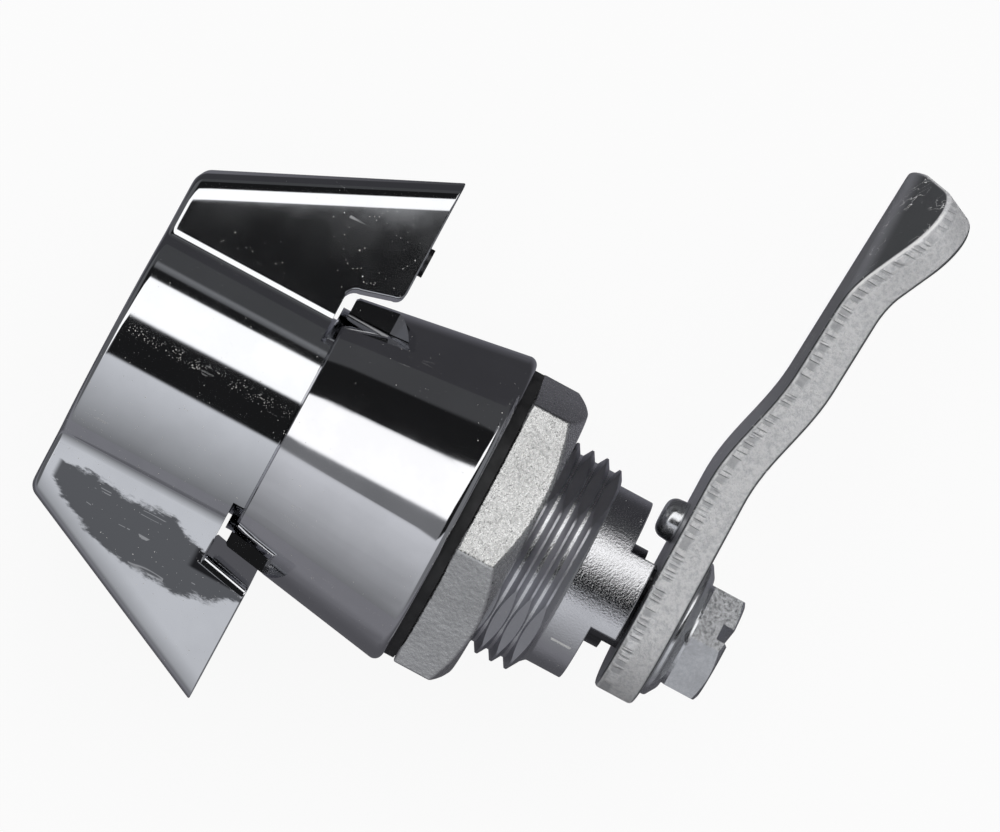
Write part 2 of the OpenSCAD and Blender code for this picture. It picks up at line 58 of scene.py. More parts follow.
class Wire:
    # a shader value; arithmetic on it adds math nodes
    def __init__(self, tree, socket):
        self.tree = tree
        self.socket = socket

    def calc(self, operation, *others):
        node = self.tree.nodes.new("ShaderNodeMath")
        node.operation = operation
        for slot, value in zip(node.inputs, (self,) + others):
            if isinstance(value, Wire):
                self.tree.links.new(value.socket, slot)
            else:
                slot.default_value = value
        return Wire(self.tree, node.outputs[0])

    def __add__(self, other):
        return self.calc("ADD", other)

    __radd__ = __add__

    def __sub__(self, other):
        return self.calc("SUBTRACT", other)

    def __rsub__(self, other):
        return self * -1.0 + other

    def __mul__(self, other):
        return self.calc("MULTIPLY", other)

    __rmul__ = __mul__

    def __truediv__(self, other):
        return self.calc("DIVIDE", other)

    def __gt__(self, other):
        return self.calc("GREATER_THAN", other)

    def __lt__(self, other):
        return self.calc("LESS_THAN", other)

    def clamp(self):
        clamped = self.calc("ADD", 0.0)
        clamped.socket.node.use_clamp = True
        return clamped

    def ramp(self, low, high):
        # 0 at low, 1 at high, eased between them
        node = self.tree.nodes.new("ShaderNodeMapRange")
        node.interpolation_type = "SMOOTHSTEP"
        self.tree.links.new(self.socket, node.inputs["Value"])
        node.inputs["From Min"].default_value = low
        node.inputs["From Max"].default_value = high
        return Wire(self.tree, node.outputs[0])

    def within(self, edges):
        # 1 between the two inner edges, 0 outside the outer two; edges rise
        return self.ramp(edges[0], edges[1]) * self.ramp(edges[3], edges[2])


class Paint:
    # a material with one Principled shader
    def __init__(self, name):
        self.material = bpy.data.materials.new(name)
        self.material.use_nodes = True
        self.tree = self.material.node_tree
        self.base = self.tree.nodes["Principled BSDF"]
        self.place = self.node("ShaderNodeTexCoord").outputs["Object"]

    def node(self, kind, settings=None, **inputs):
        node = self.tree.nodes.new(kind)
        for key, value in (settings or {}).items():
            setattr(node, key, value)
        for key, value in inputs.items():
            self.feed(node.inputs[key.replace("_", " ")], value)
        return node

    def feed(self, slot, value):
        if isinstance(value, Wire):
            self.tree.links.new(value.socket, slot)
        elif isinstance(value, bpy.types.NodeSocket):
            self.tree.links.new(value, slot)
        else:
            slot.default_value = value

    def stretched(self, scale, turn=(0, 0, 0)):
        angles = [math.radians(a) for a in turn]
        node = self.node("ShaderNodeMapping", Vector=self.place, Rotation=angles, Scale=scale)
        return node.outputs[0]

    def parts(self, vector):
        node = self.node("ShaderNodeSeparateXYZ", Vector=vector)
        return [Wire(self.tree, node.outputs[axis]) for axis in "XYZ"]

    def millimetres(self):
        # the place on the piece, in the CAD's frame
        return [value * (1 / mm) for value in self.parts(self.place)]

    def facing(self):
        # the surface's normal in the same frame
        return self.parts(self.node("ShaderNodeTexCoord").outputs["Normal"])

    def noise(self, perMetre, detail=3.0, roughness=0.55, place=None):
        node = self.node("ShaderNodeTexNoise", Vector=place or self.place, Scale=perMetre, Detail=detail,
                         Roughness=roughness)
        return Wire(self.tree, node.outputs["Fac"])

    def specks(self, perMetre, size, share):
        # round dots: size is a share of a cell, share is how many cells hold one
        cell = self.node("ShaderNodeTexVoronoi", Vector=self.place, Scale=perMetre)
        chance = self.node("ShaderNodeSeparateColor", Color=cell.outputs["Color"])
        dot = Wire(self.tree, cell.outputs["Distance"]).ramp(size, size * 0.5)
        return dot * (Wire(self.tree, chance.outputs[0]) < share)

    def scratches(self, perMetre, turn, thin, stretch=0.03):
        # long thin lines: where a stretched noise passes its middle
        lines = self.noise(perMetre, 2.0, 0.5, self.stretched((1, stretch, 1), turn))
        return (lines - 0.5).calc("ABSOLUTE").ramp(thin, 0.0)

    def mix(self, amount, first, second):
        node = self.node("ShaderNodeMix", {"data_type": "RGBA"})
        self.feed(node.inputs["Factor"], amount)
        for slot, value in ((node.inputs[6], first), (node.inputs[7], second)):
            self.feed(slot, (*value, 1) if isinstance(value, tuple) else value)
        return node.outputs[2]

    def bump(self, height, strength, distance):
        node = self.node("ShaderNodeBump", Height=height, Strength=strength, Distance=distance * mm)
        if self.base.inputs["Normal"].is_linked:
            self.feed(node.inputs["Normal"], self.base.inputs["Normal"].links[0].from_socket)
        self.feed(self.base.inputs["Normal"], node.outputs[0])

    def finish(self, **inputs):
        for key, value in inputs.items():
            self.feed(self.base.inputs[key.replace("_", " ")], value)
        return self.material


# painted highlight: white glint specks where the hub's surface leans a little towards the cam and faces the lamp;
# lean is its normal's X
paintedGlintZone = {"lean": (-0.17, -0.11, -0.08, -0.05), "halfWidth": (9.8, 9.0), "front": (-35.5, -34.5)}
# a grey patch with lighter scratches on the wing that lies away from the cam: two ragged edges, and at its rear a
# near-black band of painted dark reflection
greyPatch = {"innerX": 12.3, "innerSlope": 0.35, "innerFrom": -23.5, "outerX": 18.5, "outerBend": 0.03,
             "middleY": -23, "ragged": 3, "front": (-35.2, -34.6), "lean": (0.1, 0.14), "darkX": 15.89,
             "darkSlope": 0.02, "darkFrom": (-20.6, -19.9), "tone": (0.145, 0.148, 0.155),
             "scratchTone": (0.6, 0.6, 0.6), "darkTone": (0.02, 0.02, 0.022)}
# painted shade on the stem inside the housing; the gate mark shares its tone
stemShadeAndGate = {"edge": (11.7, 11.6), "tone": (0.1, 0.1, 0.105)}
barrelLine = {"x": (5.55, 5.6, 5.75, 5.8), "y": (11.5, 11.6, 13.5, 13.6)}


def patchedHandle(paint, colour, roughness, dustAndPaintedGlints):
    # the grey patch with its band of painted dark reflection, then painted shade on the stem inside the housing, and
    # the gate mark, in one dark tone
    x, y, z = paint.millimetres()
    lean = paint.facing()[0]
    ragged = x + (paint.noise(900, 5.0, 0.7, paint.stretched((1, 0.35, 1), (0, 0, -20))) - 0.5) * greyPatch["ragged"]
    fromMiddle = y - greyPatch["middleY"]
    outer = fromMiddle * fromMiddle * -greyPatch["outerBend"] + greyPatch["outerX"]
    inner = (y - greyPatch["innerFrom"]).calc("MAXIMUM", 0.0) * greyPatch["innerSlope"] + greyPatch["innerX"]
    patch = (ragged - inner).ramp(-0.2, 0.3) * (outer - ragged).ramp(-0.2, 0.4) * (z > 0.0)
    patch = patch * y.ramp(*greyPatch["front"]) * lean.ramp(*greyPatch["lean"])
    # painted dark reflection: a near-black band at the patch's rear
    paintedDarkBand = (y * greyPatch["darkSlope"] - x + greyPatch["darkX"]).ramp(-0.1, 0.2) * y.ramp(*greyPatch["darkFrom"])
    light = paint.scratches(700, (0, 0, 70), 0.02, 0.1) * (paint.noise(300) > 0.55)
    tone = paint.mix(light * 0.6, greyPatch["tone"], greyPatch["scratchTone"])
    colour = paint.mix(patch * (1.0 - dustAndPaintedGlints), colour, paint.mix(paintedDarkBand, tone, greyPatch["darkTone"]))
    hubRear, rear, gateX = handle["hubRearY"], handle["rearY"], handle["gate"][0]
    # painted shade: the stem inside the housing, seen through the windows, made dark
    stem = (x * x + z * z).calc("SQRT").ramp(*stemShadeAndGate["edge"]) * y.ramp(hubRear, hubRear + 0.05)
    gate = y.ramp(rear + 0.01, rear + 0.05) * x.ramp(gateX + 1.9, gateX + 1.6)
    return paint.mix((stem + gate).clamp(), colour, stemShadeAndGate["tone"]), roughness + gate * 0.4


def lineMark(paint):
    # short line on the barrel's end, next to a lug
    x, y, z = paint.millimetres()
    return x.within(barrelLine["x"]) * y.within(barrelLine["y"]) * (z > 0.0)


def chromePaint(name, tone, rough, dust, paintedGlintShare=0.0, castFrom=1.0, patched=False, mark=False):
    # plated casting: soft waves, dust, a few scratches, and a grainy cast surface behind y = castFrom
    paint = Paint(name)
    x, y, z = paint.millimetres()
    cloud = paint.noise(220)
    grit = paint.specks(2600, 0.2, dust) + paint.specks(5200, 0.24, dust)
    marks = paint.scratches(420, (20, 35, 50), 0.006) * (paint.noise(160) > 0.62)
    dustAndPaintedGlints = (grit + marks * 0.3) * paint.noise(90).ramp(0.42, 0.6)
    # painted highlight: white glint specks on the hub, added to the dust
    if paintedGlintShare:
        lean = paint.facing()[0]
        zone = lean.within(paintedGlintZone["lean"]) * x.calc("ABSOLUTE").ramp(*paintedGlintZone["halfWidth"])
        zone = zone * y.ramp(*paintedGlintZone["front"]) * (z > 0.0)
        glints = paint.specks(4200, 0.26, paintedGlintShare) + paint.specks(7500, 0.32, paintedGlintShare)
        dustAndPaintedGlints = dustAndPaintedGlints + zone * glints * paint.noise(700).ramp(0.4, 0.55)
    dustAndPaintedGlints = dustAndPaintedGlints.clamp()
    cast = y.ramp(castFrom, castFrom + 0.5)
    paint.bump(paint.noise(120, 2.0), 0.08, 0.06)
    paint.bump(paint.noise(420, 2.0), 0.04, 0.03)
    paint.bump(paint.noise(5200, 3.0, 0.6) * cast, 1.0, 0.03)
    metal = paint.mix(cloud.ramp(0.35, 0.65), tuple(c * 0.95 for c in tone), tone)
    colour = paint.mix(dustAndPaintedGlints, metal, (0.8, 0.78, 0.74))
    roughness = cloud.ramp(0.3, 0.7) * 0.02 + rough + dustAndPaintedGlints * 0.4 + cast * 0.1
    # a grey patch on one wing with painted dark reflection, and painted shade on the stem
    if patched:
        colour, roughness = patchedHandle(paint, colour, roughness, dustAndPaintedGlints)
    if mark:
        line = lineMark(paint)
        colour = paint.mix(line, colour, (1.0, 1.0, 1.0))
        dustAndPaintedGlints = (dustAndPaintedGlints + line).clamp()
    return paint.finish(Base_Color=colour, Metallic=dustAndPaintedGlints * -0.8 + 1.0, Roughness=roughness)


def platedPaint(name, tone, rough, grain, metallic=1.0, pebbles=0.0):
    # zinc plated or galvanised: fine grain, and pebbles where the coat is thick
    paint = Paint(name)
    cloud = paint.noise(260, 4.0)
    fine = paint.noise(3200, 3.0)
    if pebbles:
        paint.bump(paint.noise(2000, 4.0, 0.6), 1.0, pebbles)
    paint.bump(fine, 0.3, grain)
    colour = paint.mix((cloud * 0.6 + fine * 0.4).ramp(0.35, 0.65), tuple(c * 0.82 for c in tone), tone)
    return paint.finish(Base_Color=colour, Metallic=metallic, Roughness=fine.ramp(0.3, 0.7) * 0.12 + rough)


def camPaint():
    # pressed faces are smooth and darker, with painted shade on the bent flap's faces; the sheared sides are bright
    # and torn, with ribs next to the front face
    paint = Paint("zincPlatedCam")
    attribute = paint.node("ShaderNodeAttribute", {"attribute_name": "sheared"})
    depth = Wire(paint.tree, attribute.outputs["Fac"])  # 0 at the front face, 1 at the rear one
    x, _, z = paint.millimetres()
    _, facingRear, facingUp = paint.facing()
    side = facingRear.calc("ABSOLUTE").ramp(0.75, 0.4)
    paintedFlapShade = facingUp.ramp(0.15, 0.35) * (1.0 - side)
    torn = paint.noise(2400, 6.0, 0.72)
    ribs = paint.noise(2300, 1.0, 0.3, paint.stretched((1, 0.05, 0.05), (0, 0, 12))).ramp(0.45, 0.55)
    fine = paint.noise(5000, 2.0)
    ribbed = side * depth.within((0.06, 0.14, 0.3, 0.4)) * paint.noise(110).ramp(0.3, 0.4)
    cracked = side * depth.ramp(0.3, 0.42)
    paint.bump(fine, 0.15, 0.02)
    paint.bump(torn * cracked, 1.0, 0.2)
    paint.bump(ribs * ribbed, 1.0, 0.16)
    lines = paint.scratches(900, (0, 20, 35), 0.012) * paint.noise(300).ramp(0.5, 0.6) * (1.0 - side)
    sheared = paint.mix(torn.ramp(0.35, 0.6), (0.74, 0.75, 0.77), (0.98, 0.98, 0.99))
    sheared = paint.mix(ribbed * (1.0 - ribs) * 0.5, sheared, (0.3, 0.31, 0.33))
    # painted shade: the bent flap's pressed faces, which face up, get the darker tone
    pressed = paint.mix(paintedFlapShade, (0.36, 0.365, 0.4), (0.1, 0.105, 0.11))
    # painted highlight: a white line along the bent tip's front edge
    paintedEdgeHighlight = depth.within((0.02, 0.035, 0.06, 0.085)) * x.within((-45.2, -44.2, -35, -33.5)) * (z > 0.0)
    # scratches, and the painted highlight, in white
    bright = (lines + paintedEdgeHighlight).clamp()
    colour = paint.mix(bright, paint.mix(side, pressed, sheared), (1.0, 1.0, 1.0))
    return paint.finish(Base_Color=colour, Metallic=0.25 - bright * 0.25, Roughness=fine * 0.1 + 0.25)


def rubberPaint():
    paint = Paint("blackRubber")
    cloud = paint.noise(500, 4.0)
    paint.bump(paint.noise(2600, 3.0), 0.3, 0.03)
    colour = paint.mix(cloud.ramp(0.3, 0.7), (0.012, 0.012, 0.013), (0.03, 0.03, 0.032))
    return paint.finish(Base_Color=colour, Roughness=cloud * 0.2 + 0.5)


def select(piece):
    bpy.ops.object.select_all(action="DESELECT")
    piece.select_set(True)
    bpy.context.view_layer.objects.active = piece


def cover(piece, material):
    piece.data.materials.clear()
    piece.data.materials.append(material)


def dress(piece, material, body):
    cover(piece, material)
    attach(piece, body)


def modify(piece, kind, **settings):
    modifier = piece.modifiers.new(kind.title(), kind)
    for key, value in settings.items():
        setattr(modifier, key, value)
    select(piece)
    bpy.ops.object.modifier_apply(modifier=modifier.name)


def weighEdges(piece, widest, widthOf, sharpAngle):
    # gives each sharp edge its own share of the widest rounding
    mesh = bmesh.new()
    mesh.from_mesh(piece.data)
    share = mesh.edges.layers.float.new("bevel_weight_edge")
    for edge in mesh.edges:
        if len(edge.link_faces) == 2 and edge.calc_face_angle(0) > math.radians(sharpAngle):
            middle = (edge.verts[0].co + edge.verts[1].co) / 2 / mm
            edge[share] = widthOf(middle, [face.normal for face in edge.link_faces]) / widest
    mesh.to_mesh(piece.data)
    mesh.free()


def mergePoints(piece):
    # joins the points that the boolean cuts leave side by side
    select(piece)
    bpy.ops.object.mode_set(mode="EDIT")
    bpy.ops.mesh.select_all(action="SELECT")
    bpy.ops.mesh.remove_doubles(threshold=0.001 * mm)
    bpy.ops.object.mode_set(mode="OBJECT")


def mergedCopy(node):
    # a copy of the CAD mesh with its triangles joined
    select(frame["nodes"][node])
    bpy.ops.object.duplicate()
    piece = bpy.context.object
    bpy.ops.object.parent_clear(type="CLEAR_KEEP_TRANSFORM")
    for key in list(piece.keys()):
        del piece[key]
    piece.name = node + "_rounded"
    if piece.data.has_custom_normals:
        bpy.ops.mesh.customdata_custom_splitnormals_clear()
    bpy.ops.object.mode_set(mode="EDIT")
    bpy.ops.mesh.select_all(action="SELECT")
    bpy.ops.mesh.remove_doubles(threshold=0.002 * mm)
    bpy.ops.mesh.dissolve_limited(angle_limit=math.radians(0.6))
    bpy.ops.mesh.normals_make_consistent(inside=False)
    bpy.ops.object.mode_set(mode="OBJECT")
    return piece


def roundEdges(piece, sizes, widthOf, sharpAngle=30):
    # widthOf gives the rounding of one edge in mm, from its middle and its faces' normals
    widest = sizes["edge"]
    weighEdges(piece, widest, widthOf, sharpAngle)
    modify(piece, "BEVEL", width=widest * mm, segments=sizes["steps"], limit_method="WEIGHT",
           use_clamp_overlap=sizes.get("clamped", False), miter_outer="MITER_ARC", harden_normals=False)


def smooth(piece, angle=40):
    # smooth over small angles, flat faces kept flat
    select(piece)
    bpy.ops.object.shade_smooth_by_angle(angle=math.radians(angle))
    modify(piece, "WEIGHTED_NORMAL", keep_sharp=True)


def showFor(piece, node, material, body):
    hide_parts(node)
    dress(piece, material, body)


def roundedCopy(node, sizes, material, body):
    # a copy of the CAD mesh, its edges rounded where they lie beyond a distance from the axis
    piece = mergedCopy(node)
    roundEdges(piece, sizes, lambda middle, normals: sizes["edge"] if middle.xz.length > sizes["beyond"] else 0)
    smooth(piece)
    showFor(piece, node, material, body)


def cutAway(piece, cutter, operation="DIFFERENCE"):
    modify(piece, "BOOLEAN", operation=operation, object=cutter, solver="EXACT")
    bpy.data.objects.remove(cutter)


def outlineArc(centre, radius, start, end, steps):
    angles = [math.radians(start + (end - start) * k / steps) for k in range(steps + 1)]
    return [(centre[0] + radius * math.cos(a), centre[1] + radius * math.sin(a)) for a in angles]


def outlineSolid(name, outline, sweep):
    # a flat outline, pulled out along sweep
    bpy.ops.object.select_all(action="DESELECT")
    bpy.ops.mesh.primitive_circle_add(vertices=len(outline), fill_type="NGON", radius=0.01)
    solid = bpy.context.object
    solid.name = name
    for vertex, place in zip(solid.data.vertices, outline):
        vertex.co = place
    bpy.ops.object.mode_set(mode="EDIT")
    bpy.ops.mesh.select_all(action="SELECT")
    bpy.ops.mesh.extrude_region_move(TRANSFORM_OT_translate={"value": sweep})
    bpy.ops.mesh.select_all(action="SELECT")
    bpy.ops.mesh.normals_make_consistent(inside=False)
    bpy.ops.object.mode_set(mode="OBJECT")
    return solid


def ringSolid(name, rings):
    # one closed solid through a row of rings with the same number of points
    count = len(rings[0])
    bpy.ops.object.select_all(action="DESELECT")
    bpy.ops.mesh.primitive_circle_add(vertices=count, fill_type="NOTHING", radius=0.01)
    solid = bpy.context.object
    solid.name = name
    modify(solid, "SCREW", axis="Z", angle=0, screw_offset=0.1, steps=len(rings) - 1, render_steps=len(rings) - 1,
           use_merge_vertices=False)
    assert len(solid.data.vertices) == count * len(rings), name
    for index, vertex in enumerate(solid.data.vertices):
        vertex.co = Vector(rings[index // count][index % count]) * mm
    bpy.ops.object.mode_set(mode="EDIT")
    bpy.ops.mesh.select_all(action="SELECT")
    bpy.ops.mesh.fill_holes(sides=0)
    bpy.ops.mesh.select_all(action="SELECT")
    bpy.ops.mesh.normals_make_consistent(inside=False)
    bpy.ops.object.mode_set(mode="OBJECT")
    return solid


def turned(name, profile, segments=96):
    # a round solid about the barrel's axis: (radius, y) from the axis at one end to the axis at the other
    rings = [[(r * math.cos(2 * math.pi * k / segments), y, r * math.sin(2 * math.pi * k / segments))
              for k in range(segments)] for r, y in profile]
    return ringSolid(name, rings)


handle = {"frontY": -36.3, "rearY": -14.55, "hubR": 12.7, "hubRearY": -18.35, "coreR": 10,
          "faceTilt": 9.675, "faceDistance": 9.079, "crown": 0.0044, "crownX": 17,
          "hollowCentre": (11.116, 8.836), "hollowR": 1.5, "cornerCentre": (15.216, -34.9), "cornerR": 1.4,
          "edgeTilt": 25.45, "frontEdge": 0.66, "gentleR": 5.7, "gentleEnd": 27, "tightR": 1.8,
          "reliefX": 12.05, "reliefY": -19.4, "landHalf": 8.25,
          "hookX": 13.25, "hookDraft": 4.5, "hookFlare": 11.87, "hookBend": 1.1, "hookTip": 0.9,
          "gate": (-18.4, -1), "gateR": 1.4, "gateHeight": 0.45,
          "edge": 0.9, "rearEdge": 0.2, "steps": 6, "cutReach": 20}
handleSteps = {"hub": 25, "hollow": 10, "face": 8, "gentle": 6, "tight": 12}


def quarterSection(inset, outerX):
    # hub, hollow, wing face and rounded outer edge of one quarter, from the top round to the side
    tilt = math.radians(handle["faceTilt"])
    normal = (math.sin(tilt), math.cos(tilt))
    hollowX, hollowZ = handle["hollowCentre"]
    meet = math.atan2(hollowZ, hollowX)
    hubR = handle["hubR"] - inset
    points = []
    for k in range(handleSteps["hub"] + 1):
        a = math.pi / 2 + (meet - math.pi / 2) * k / handleSteps["hub"]
        points.append((hubR * math.cos(a), hubR * math.sin(a)))
    hollowR = handle["hollowR"] + inset
    first = meet + math.pi
    last = math.atan2(-normal[1], -normal[0]) + 2 * math.pi
    for k in range(1, handleSteps["hollow"] + 1):
        a = first + (last - first) * k / handleSteps["hollow"]
        points.append((hollowX + hollowR * math.cos(a), hollowZ + hollowR * math.sin(a)))
    distance = handle["faceDistance"] - inset
    edge = [(0, 0)]
    begin = math.pi / 2 - tilt
    middle = math.pi / 2 - math.radians(handle["gentleEnd"])
    for radius, high, low, steps in ((handle["gentleR"] - inset, begin, middle, handleSteps["gentle"]),
                                     (handle["tightR"] - inset, middle, 0, handleSteps["tight"])):
        fromX, fromZ = edge[-1]
        for k in range(1, steps + 1):
            a = high + (low - high) * k / steps
            edge.append((fromX + radius * (math.cos(a) - math.cos(high)),
                         fromZ + radius * (math.sin(a) - math.sin(high))))
    startX, startZ = points[-1]
    endX = outerX - edge[-1][0]
    endZ = (distance - endX * normal[0]) / normal[1]

    def crown(x):
        # the wing's face is slightly domed
        return handle["crown"] / 2 * ((startX - handle["crownX"]) ** 2 - (x - handle["crownX"]) ** 2)

    for k in range(1, handleSteps["face"]):
        share = k / handleSteps["face"]
        x = startX + (endX - startX) * share
        points.append((x, startZ + (endZ - startZ) * share + crown(x)))
    points += [(endX + x, endZ + z + crown(endX)) for x, z in edge]
    points.append((outerX, points[-1][1] / 2))
    return points


def wholeSection(y, inset, outerX):
    # four mirrored quarters
    quarter = quarterSection(inset, outerX)
    right = quarter + [(quarter[-2][0], 0)] + [(x, -z) for x, z in reversed(quarter)]
    left = [(-x, z) for x, z in reversed(right)]
    return [(x, y, z) for x, z in right + left[1:-1]]


def handleSkin():
    # sections from the front face, through its rounded edge, to the rear tips of the wings
    front, edge = handle["frontY"], handle["frontEdge"]
    cornerX, cornerY = handle["cornerCentre"]
    lean = math.radians(handle["edgeTilt"])
    tangentX = cornerX + handle["cornerR"] * math.cos(lean)
    tangentY = cornerY - handle["cornerR"] * math.sin(lean)
    bend = [math.radians(a) for a in range(0, 91, 15)]
    stations = [(front + edge * (1 - math.cos(a)), edge * (1 - math.sin(a))) for a in bend]
    stations += [(y, 0) for y in (tangentY, -34.5, -30, -25, -20, handle["rearY"])]
    rings = []
    for y, inset in stations:
        if y < tangentY:
            outerX = cornerX + math.sqrt(max(0, handle["cornerR"] ** 2 - (y - cornerY) ** 2))
        else:
            outerX = tangentX + (y - tangentY) * math.tan(lean)
        rings.append(wholeSection(y, inset, outerX))
    return ringSolid("wing_handle_skin", rings)


def hookRoom():
    # what is cut away behind the hub and inside the wing hooks
    end = handle["rearY"] + 2
    side, relief, land, reach = handle["reliefX"], handle["reliefY"], handle["landHalf"], handle["cutReach"]
    half = [(side, end), (side, relief), (land, relief), (land, handle["hubRearY"])]
    outline = [(-x, y) for x, y in half] + half[::-1]
    room = outlineSolid("hook_room_cutter", [Vector((x, y, -reach)) * mm for x, y in outline], (0, 0, 2 * reach * mm))
    return [room] + [hookSlant(sign, end) for sign in (-1, 1)]


def hookSlant(sign, end):
    # the drafted inside of one hook; on the cam's side its corners are rounded
    inner, front, rear, reach = handle["hookX"], handle["reliefY"], handle["rearY"], handle["cutReach"]
    bend, tip = handle["hookBend"], handle["hookTip"]
    shift = -reach * math.tan(math.radians(handle["hookDraft"]))
    slope = math.tan(math.radians(handle["hookFlare"]))
    lap = 2.2  # how far the slant reaches into the room already cut
    tipX = inner + slope * (rear - tip - front)
    outline = [(inner - lap, end), (inner - lap, front)]
    if sign < 0:
        outline += outlineArc((inner - bend, front + bend), bend, -90, 0, 6)
        outline += outlineArc((tipX + tip, rear - tip), tip, 180, 90, 6) + [(tipX + tip, end)]
    else:
        outline += [(inner, front), (inner + slope * (end - front), end)]
    places = [Vector((sign * (x + shift), y, -reach)) * mm for x, y in outline]
    return outlineSolid("hook_slant_cutter", places, (-2 * sign * shift * mm, 0, 2 * reach * mm))


def handleEdge(middle, normals):
    # wide on the inside of the hook away from the cam, narrow elsewhere
    if abs(middle.x) < handle["reliefX"] + 0.5 or middle.y < handle["reliefY"] - 0.1:
        return 0
    inward = middle.x > 0 and min(normal.x for normal in normals) < -0.5
    rear = max(normal.y for normal in normals) > 0.9
    return handle["edge"] if inward and not rear else handle["rearEdge"]


def makeHandle():
    # the skin is made here; what lies inside the hub, and the stem, are CAD's
    wing = handleSkin()
    coreR, ahead, behind = handle["coreR"], -38, -10  # past both ends of the wings
    cutAway(wing, turned("core_cutter", ((coreR, ahead), (coreR, behind))))
    for cutter in hookRoom():
        cutAway(wing, cutter)
    core = mergedCopy("wing_handle")
    keptR, stemR, stemFrom, stemEnd = coreR + 0.05, 12, -19, 30
    keeper = turned("core_keeper", ((keptR, ahead), (keptR, stemFrom), (stemR, stemFrom), (stemR, stemEnd)))
    cutAway(core, keeper, "INTERSECT")
    roundEdges(wing, handle, handleEdge)
    gateR, rear = handle["gateR"], handle["rearY"]
    gate = turned("gate_mark", ((gateR, rear - 1), (gateR, rear + handle["gateHeight"])), 32)
    for vertex in gate.data.vertices:
        vertex.co += Vector((handle["gate"][0], 0, handle["gate"][1])) * mm
    cutAway(wing, gate, "UNION")
    cutAway(wing, core, "UNION")
    mergePoints(wing)
    return wing


cam = {"width": 16.2, "thickness": 3.85, "frontY": 17.25, "reach": 46.5, "cornerR": 6,
       "crankStart": 13.2, "crankLength": 12.8, "crank": 1.9, "lean": 3.4,
       "bendStart": 34.6, "bendEndZ": 2, "bendAngle": 31, "bendLength": 3.2, "edge": 0.4, "rearEdge": 0.4, "steps": 3,
       "drive": 8.1, "journalR": 5.05, "studReach": 8.56, "studHoleR": 1.65}


def camSide(x):
    # how far back the front face lies, x mm out along the arm
    start, length = cam["crankStart"], cam["crankLength"]
    if x < start:
        return 0
    slope = math.tan(math.radians(cam["lean"]))
    t = min((x - start) / length, 1)
    crank = cam["crank"] * (1 - math.cos(math.pi * t)) / 2
    return crank + slope * (length * t * t / 2 + max(0, x - start - length))


def bendLine():
    # a point on the slanting bend line, and the direction across it
    along = Vector((cam["reach"] - cam["bendStart"], 0, cam["bendEndZ"] - cam["width"])).normalized()
    return Vector((cam["bendStart"], 0, cam["width"] / 2)), Vector((-along.z, 0, along.x))


def camBend(place):
    # turns what lies past the slanting line back, over a short round bend; place is (x, depth, z)
    origin, across = bendLine()
    past = (place - origin).dot(across) + cam["bendLength"] / 2
    if past <= 0:
        return place
    total = math.radians(cam["bendAngle"])
    turn = total * min(past / cam["bendLength"], 1)
    radius = cam["bendLength"] / total
    rest = max(0, past - cam["bendLength"])
    depth = place.y - cam["thickness"] / 2
    foot = place - across * past
    forward = radius * math.sin(turn) + rest * math.cos(turn) - depth * math.sin(turn)
    back = radius * (1 - math.cos(turn)) + rest * math.sin(turn) + depth * math.cos(turn)
    return Vector((foot.x, cam["thickness"] / 2 + back, foot.z)) + across * forward


def cutRow(place, normal):
    # adds a row of points where a plane crosses the edited mesh
    bpy.ops.mesh.select_all(action="SELECT")
    bpy.ops.mesh.bisect(plane_co=place, plane_no=normal)


def camEdge(middle, normals):
    return cam["edge"] if middle.y < cam["thickness"] / 2 else cam["rearEdge"]


def camHoles():
    # the square drive with corners cut by the round journal, and the stud's hole; all run through the arm
    bpy.ops.object.select_all(action="DESELECT")
    bpy.ops.mesh.primitive_cube_add(size=1, location=(0, 20 * mm, 0))
    drive = bpy.context.object
    drive.scale = (cam["drive"] * mm, 20 * mm, cam["drive"] * mm)
    bpy.ops.object.transform_apply(location=True, rotation=True, scale=True)
    cutAway(drive, turned("journal_keeper", ((cam["journalR"], 5), (cam["journalR"], 35))), "INTERSECT")
    hole = turned("stud_hole_cutter", ((cam["studHoleR"], 10), (cam["studHoleR"], 30)), 48)
    for vertex in hole.data.vertices:
        vertex.co.x -= cam["studReach"] * mm
    return drive, hole


def makeCam():
    # a flat arm out to +X with rounded edges, cut into rows, then cranked, bent and turned to -X
    half = cam["width"] / 2
    corner = cam["cornerR"]
    outline = outlineArc((0, 0), half, 270, 90, 36)
    outline += [(x, half) for x in range(3, 40, 3)]
    outline += outlineArc((cam["reach"] - corner, half - corner), corner, 90, 0, 16)
    outline += [(cam["reach"], -half)] + [(x, -half) for x in range(42, 2, -3)]
    arm = outlineSolid("cam_lever_rounded", [Vector((x, 0, z)) * mm for x, z in outline],
                       (0, cam["thickness"] * mm, 0))
    roundEdges(arm, cam, camEdge, 40)
    arm.data.attributes.new("sheared", "FLOAT", "POINT")  # the depth in the sheet, for the material
    layer = arm.data.attributes["sheared"].data
    for vertex in arm.data.vertices:
        layer[vertex.index].value = vertex.co.y / mm / cam["thickness"]
    origin, across = bendLine()
    crankRows, bendRows = 16, 8
    select(arm)
    bpy.ops.object.mode_set(mode="EDIT")
    for k in range(crankRows):
        cutRow(((13 + 0.9 * k) * mm, 0, 0), (1, 0, 0))
    for k in range(bendRows + 1):
        cutRow((origin + across * cam["bendLength"] * (k / bendRows - 0.5)) * mm, across)
    bpy.ops.object.mode_set(mode="OBJECT")
    for vertex in arm.data.vertices:
        place = camBend(vertex.co / mm)
        vertex.co = Vector((-place.x, place.y + camSide(place.x) + cam["frontY"], place.z)) * mm
    bpy.ops.object.mode_set(mode="EDIT")
    bpy.ops.mesh.select_all(action="SELECT")
    bpy.ops.mesh.normals_make_consistent(inside=False)
    bpy.ops.object.mode_set(mode="OBJECT")
    for cutter in camHoles():
        cutAway(arm, cutter)
    return arm


